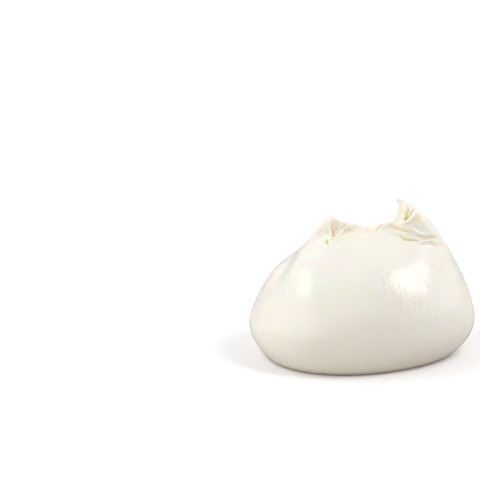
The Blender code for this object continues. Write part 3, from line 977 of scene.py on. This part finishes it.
@dataclass
class BurrataSkin:
    """The whole cheese as one skin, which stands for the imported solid.

    Each entry of finer makes the mesh finer once: it says how far from a fold that reaches, and how wide a
    fold may be to need it. swells are the faint waves that make the skin uneven, and they die out below
    swell_from.
    """

    pouch: Pouch = Pouch()
    rolls: Sequence[Roll] = (EAR, HORN, HORN_LINING, LIP)
    boards: Sequence[Board] = (FRONT_BOARD, BACK_BOARD, TOP_BOARD)
    finish: WetCheese = WetCheese()
    voxel: float = 0.6
    softening: int = 8
    soft_share: float = 0.5
    finer: Sequence[tuple[float, float]] = ((2.4, 1.3), (1.1, 0.6))
    rim_height: float = 1.6
    rim_round: float = 0.7
    # The painted warm shade of the folds: how deep a fold goes for all of it, and how often it is blurred.
    fold_shade_depth: float = 0.9
    fold_shade_rounds: int = 2
    bend_rounds: int = 3
    bend_share: float = 0.12
    bend_most: float = 0.4
    swells: int = 40
    swell_lengths: tuple[float, float] = (5.0, 16.0)
    swell_height: float = 0.006
    swell_from: float = 4.0
    seed: int = 11
    obj: bpy.types.Object = field(init=False)

    def build(self) -> None:
        """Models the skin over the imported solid."""
        self.obj = self._one_skin()
        self._cut_base()
        self._swell()
        for time, (reach, widest) in enumerate(self.finer):
            self._refine(reach, widest, rim=self.rim_height if time == 0 else 0.0)
        presser = Presser(self.obj.data)
        for board in self.boards:
            presser.press(board)
            LOG.info("pressed the %s board's folds", board.name)
        self._round_rim()
        self._note_fold_shade(presser.depth)
        self._settle()
        self.obj.data.shade_smooth()

    def dress(self) -> None:
        """Gives the skin its finish, and names what it stands for."""
        self.obj.name = "burrata_skin"
        self.obj.data.name = "burrata_skin"
        self.obj.data.materials.clear()
        self.obj.data.materials.append(self.finish.material())
        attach(self.obj, "root")
        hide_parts("burrata")

    def _one_skin(self) -> bpy.types.Object:
        """Joins the rolls to the pouch under one soft skin.

        Returns:
            A closed mesh object.
        """
        pouch = self.pouch.build()
        bpy.ops.object.select_all(action="DESELECT")
        for obj in (pouch, *(roll.build() for roll in self.rolls)):
            obj.select_set(True)
        bpy.context.view_layer.objects.active = pouch
        bpy.ops.object.join()
        skin = pouch.modifiers.new("one_skin", "REMESH")
        skin.mode = "VOXEL"
        skin.voxel_size = self.voxel * MM
        soften = pouch.modifiers.new("soften", "SMOOTH")
        soften.factor = self.soft_share
        soften.iterations = self.softening
        apply_modifiers(pouch)
        return pouch

    def _cut_base(self) -> None:
        """Cuts the underside off at the table, and closes it with a flat face."""
        shape = bmesh.new()
        shape.from_mesh(self.obj.data)
        everything = shape.verts[:] + shape.edges[:] + shape.faces[:]
        bmesh.ops.bisect_plane(
            shape, geom=everything, dist=HAIR, plane_co=(0, 0, 0), plane_no=(0, 0, -1), clear_outer=True)
        rim = [edge for edge in shape.edges if edge.is_boundary]
        for vertex in {vertex for edge in rim for vertex in edge.verts}:
            vertex.co.z = 0
        bmesh.ops.holes_fill(shape, edges=rim)
        bmesh.ops.recalc_face_normals(shape, faces=shape.faces)
        shape.to_mesh(self.obj.data)
        shape.free()

    def _swell(self) -> None:
        """Makes the skin slightly uneven, by a sum of faint waves along its normals."""
        mesh = self.obj.data
        places = places_of(mesh)
        chance = np.random.default_rng(self.seed)
        lift = np.zeros(len(places))
        for _ in range(self.swells):
            way = chance.normal(size=3)
            length = chance.uniform(*self.swell_lengths)
            turns = places @ (way / np.linalg.norm(way)) / (length * MM) + chance.uniform()
            lift += length / self.swell_lengths[0] * np.sin(2 * math.pi * turns)
        lift *= self.swell_height * MM * np.clip(places[:, 2] / (self.swell_from * MM), 0, 1)
        move_vertices(mesh, places + normals_of(mesh) * lift[:, None])

    def _refine(self, reach: float, widest: float, rim: float) -> None:
        """Halves the mesh's spacing near its folds, and along the rim of the base.

        Args:
            reach: How far from a fold's line the mesh becomes finer, in millimetres.
            widest: How wide a fold may be to need a finer mesh, in millimetres.
            rim: How high above the table the mesh becomes finer all round, in millimetres.
        """
        presser = Presser(self.obj.data)
        spots = [spot for board in self.boards for fold, route in presser.routes(board)
                 if fold.width <= widest for spot in route[:, :3]]
        tree = KDTree(len(spots))
        for index, spot in enumerate(spots):
            tree.insert(spot, index)
        tree.balance()
        shape = bmesh.new()
        shape.from_mesh(self.obj.data)
        fine = {vertex for vertex in shape.verts
                if vertex.co.z < rim * MM or tree.find(vertex.co)[2] < reach * MM}
        longest = 2 * self.voxel * MM
        edges = [edge for edge in shape.edges
                 if edge.verts[0] in fine and edge.verts[1] in fine and edge.calc_length() < longest]
        before = len(shape.verts)
        bmesh.ops.subdivide_edges(shape, edges=edges, cuts=1, use_grid_fill=True)
        shape.verts.ensure_lookup_table()
        added = [vertex for vertex in shape.verts[before:] if vertex.co.z > HAIR]
        every_way = {f"use_axis_{axis}": True for axis in "xyz"}
        bmesh.ops.smooth_vert(shape, verts=added, factor=self.soft_share, **every_way)
        shape.to_mesh(self.obj.data)
        shape.free()
        LOG.info("refined to %d vertices", len(self.obj.data.vertices))

    def _round_rim(self) -> None:
        """Tucks the last of the side in under the cheese, so that it meets the table in a rounded edge."""
        places = places_of(self.obj.data)
        radius = self.rim_round * MM
        low = np.clip(1 - places[:, 2] / radius, 0, 1)
        inset = radius * (1 - np.sqrt(1 - low ** 2))
        flat = np.linalg.norm(places[:, :2], axis=1)
        places[:, :2] *= (1 - inset / np.maximum(flat, radius))[:, None]
        move_vertices(self.obj.data, places)

    def _note_fold_shade(self, depth: np.ndarray) -> None:
        """Stores a painted warm shade for the folds, from 0 to 1, by how deep each place went and how it
        bends.

        Args:
            depth: How deep each vertex was pressed, in metres.
        """
        mesh = self.obj.data
        edges = edges_of(mesh)
        places = places_of(mesh)
        hollow = np.einsum("ij,ij->i", neighbour_mean(places, edges) - places, normals_of(mesh))
        lengths = np.linalg.norm(places[edges[:, 0]] - places[edges[:, 1]], axis=1)
        spacing = mean_of_edges((lengths, lengths), edges, len(places))
        # The neighbours' mean lies off a place by its bend times the square of their spacing, over four.
        bend = 4 * hollow / spacing ** 2
        for _ in range(self.bend_rounds):
            bend = neighbour_mean(bend, edges)
        bent = np.clip(bend * MM * self.bend_share, 0, self.bend_most)
        fold_shade = np.clip(depth / (self.fold_shade_depth * MM), 0, 1) + bent
        for _ in range(self.fold_shade_rounds):
            fold_shade = neighbour_mean(fold_shade, edges)
        attribute = mesh.attributes.new("fold_warmth", "FLOAT", "POINT")
        attribute.data.foreach_set("value", np.clip(fold_shade, 0, 1).astype(np.float32))

    def _settle(self) -> None:
        """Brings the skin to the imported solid's length, centred where that is."""
        low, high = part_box("burrata")
        places = places_of(self.obj.data)
        least, most = places.min(axis=0), places.max(axis=0)
        scale = (high.x - low.x) / (most[0] - least[0])
        middle = (least + most) / 2
        middle[2] = 0
        target = np.array((low + high) / 2)
        target[2] = low.z
        move_vertices(self.obj.data, (places - middle) * scale + target)


# ---- The studio --------------------------------------------------------------


@dataclass(frozen=True)
class Table:
    """A plain round table with a backdrop round it, past every view.

    The white top and backdrop are what is seen. Light bounces off a greyer card a hair under the top, as a
    studio flags the light that would come back up from a white table.
    """

    radius: float = 3000.0
    segments: int = 96
    backdrop_height: float = 3000.0
    top_below: float = 0.02
    card_below: float = 0.05
    backdrop_below: float = 1.0
    top: PlainSurface = PlainSurface("table_top", (0.93, 0.93, 0.93), 0.1, 0.34)
    card: PlainSurface = PlainSurface("table_card", (0.61, 0.583, 0.552))
    backdrop: PlainSurface = PlainSurface("backdrop", (0.0, 0.0, 0.0), 1.0, 1.0)

    def build(self) -> None:
        """Lays the top and the card a hair below the cheese, and stands the backdrop round them."""
        radius = self.radius * MM
        disc = {"cap_ends": True, "segments": self.segments, "radius": radius}
        self._staged(self.top, bmesh.ops.create_circle, disc, -self.top_below)
        self._staged(self.card, bmesh.ops.create_circle, disc, -self.card_below)
        tube = {"cap_ends": False, "segments": self.segments, "radius1": radius, "radius2": radius,
                "depth": self.backdrop_height * MM}
        middle = self.backdrop_height / 2 - self.backdrop_below
        self._staged(self.backdrop, bmesh.ops.create_cone, tube, middle)
        bpy.data.objects[self.card.name].visible_camera = False
        for seen in (self.top, self.backdrop):
            for kind_of_ray in ("diffuse", "glossy", "transmission", "shadow"):
                setattr(bpy.data.objects[seen.name], f"visible_{kind_of_ray}", False)

    def _staged(self, finish: PlainSurface, maker: Callable, sizes: dict, height: float) -> None:
        """Makes one staged object of a finish.

        Args:
            finish: Its finish, whose name it takes.
            maker: The bmesh operator that makes its shape.
            sizes: What that operator takes.
            height: How high its middle is, in millimetres.
        """
        shape = bmesh.new()
        maker(shape, **sizes)
        mesh = bpy.data.meshes.new(finish.name)
        shape.to_mesh(mesh)
        shape.free()
        mesh.materials.append(finish.material())
        staged = link(bpy.data.objects.new(finish.name, mesh))
        staged.location.z = height * MM


def direction(azimuth: float, elevation: float) -> Vector:
    """Returns the way to a place round the cheese: azimuth 0 is the front, 90 the right, both in degrees."""
    turn, rise = math.radians(azimuth), math.radians(elevation)
    return Vector((math.sin(turn) * math.cos(rise), -math.cos(turn) * math.cos(rise), math.sin(rise)))


class Face(Enum):
    """The outline of a softbox, with the share of its width times its height that shines."""

    RECTANGLE = 1.0
    ELLIPSE = math.pi / 4


@dataclass(frozen=True)
class Softbox:
    """A soft light aimed at the cheese: where it hangs, how large and bright it is, and how it is turned."""

    name: str
    azimuth: float
    elevation: float
    width: float
    height: float
    roll: float
    brightness: float
    face: Face = Face.RECTANGLE
    distance: float = 600.0
    aim_height: float = 20.0

    def build(self) -> bpy.types.Object:
        """Hangs the light.

        Returns:
            The light object.
        """
        light = bpy.data.lights.new(self.name, "AREA")
        light.shape = self.face.name
        light.size = self.width * MM
        light.size_y = self.height * MM
        area = light.size * light.size_y * self.face.value
        light.energy = self.brightness * math.pi * area
        holder = link(bpy.data.objects.new(self.name, light))
        away = direction(self.azimuth, self.elevation)
        holder.location = Vector((0, 0, self.aim_height * MM)) + away * self.distance * MM
        holder.rotation_mode = "QUATERNION"
        turned = Quaternion((0, 0, 1), math.radians(self.roll))
        holder.rotation_quaternion = (-away).to_track_quat("-Z", "Y") @ turned
        return holder


@dataclass(frozen=True)
class PaleWall:
    """A pale wall of the studio: where its brightest part is, and how bright that is."""

    azimuth: float
    elevation: float
    brightness: float


@dataclass(frozen=True)
class Studio:
    """The lights of the studio: softboxes, and pale walls that fade into each other."""

    softboxes: Sequence[Softbox] = (
        Softbox("right_softbox", azimuth=72, elevation=54, width=228, height=392, roll=-30,
                brightness=5.1, face=Face.ELLIPSE),
        Softbox("left_softbox", azimuth=-97, elevation=49, width=175, height=290, roll=58, brightness=3.7),
    )
    walls: Sequence[PaleWall] = (
        PaleWall(90, 10, 1.8), PaleWall(-90, 10, 1.25), PaleWall(-45, 10, 1.65), PaleWall(180, 45, 1.05))
    fade: float = 4.0
    air: float = 0.03

    def build(self) -> None:
        """Hangs the softboxes and lights the walls."""
        for softbox in self.softboxes:
            softbox.build()
        world = bpy.data.worlds.new("studio_walls")
        world.use_nodes = True
        world.node_tree.nodes.clear()
        wiring = Wiring(world.node_tree)
        facing = wiring.node("ShaderNodeTexCoord", {}, {}).outputs["Generated"]
        light = sum((self._wall(wiring, facing, wall) for wall in self.walls), start=self.air)
        inputs = {"Color": opaque((1.0, 1.0, 1.0)), "Strength": light}
        shader = wiring.node("ShaderNodeBackground", {}, inputs)
        wiring.node("ShaderNodeOutputWorld", {}, {"Surface": shader.outputs["Background"]})
        bpy.context.scene.world = world
        bpy.context.scene.view_settings.view_transform = "Standard"

    def _wall(self, wiring: Wiring, facing: bpy.types.NodeSocket, wall: PaleWall) -> Value:
        """Returns how bright one wall is where a line of sight meets the studio."""
        towards = wiring.measure("DOT_PRODUCT", facing, direction(wall.azimuth, wall.elevation))
        return towards.at_least(0.0) ** self.fade * wall.brightness


@dataclass(frozen=True)
class ViewCamera:
    """The camera, which looks down on the origin from the front, turned until the cheese is low and right.

    sees_across is the width of the view at the origin, and origin_right and origin_down say how far from the
    middle of the view the origin is.
    """

    elevation: float = 18.0
    distance: float = 625.0
    sees_across: float = 167.0
    origin_right: float = 42.3
    origin_down: float = 37.9
    sensor: float = 36.0
    nearest_seen: float = 10.0
    farthest_seen: float = 20000.0

    def build(self) -> bpy.types.Object:
        """Places the camera and makes it the scene's own.

        Returns:
            The camera object.
        """
        data = bpy.data.cameras.new("view_camera")
        data.sensor_width = self.sensor
        data.lens = self.sensor * self.distance / self.sees_across
        data.clip_start = self.nearest_seen * MM
        data.clip_end = self.farthest_seen * MM
        camera = link(bpy.data.objects.new("view_camera", data))
        down = math.radians(self.elevation)
        ahead = Vector((0, math.cos(down), -math.sin(down)))
        up = Vector((0, math.sin(down), math.cos(down)))
        axis = ahead * self.distance - Vector((1, 0, 0)) * self.origin_right + up * self.origin_down
        camera.location = -ahead * self.distance * MM
        camera.rotation_mode = "QUATERNION"
        camera.rotation_quaternion = ahead.rotation_difference(axis) @ ahead.to_track_quat("-Z", "Y")
        bpy.context.scene.camera = camera
        return camera


def main() -> None:
    """Builds the skin, the table, the lights and the camera."""
    logging.basicConfig(level=logging.INFO, format="%(name)s: %(message)s")
    skin = BurrataSkin()
    skin.build()
    skin.dress()
    LOG.info("%s: %d vertices", skin.obj.name, len(skin.obj.data.vertices))
    Table().build()
    Studio().build()
    ViewCamera().build()


if __name__ == "__main__":
    main()
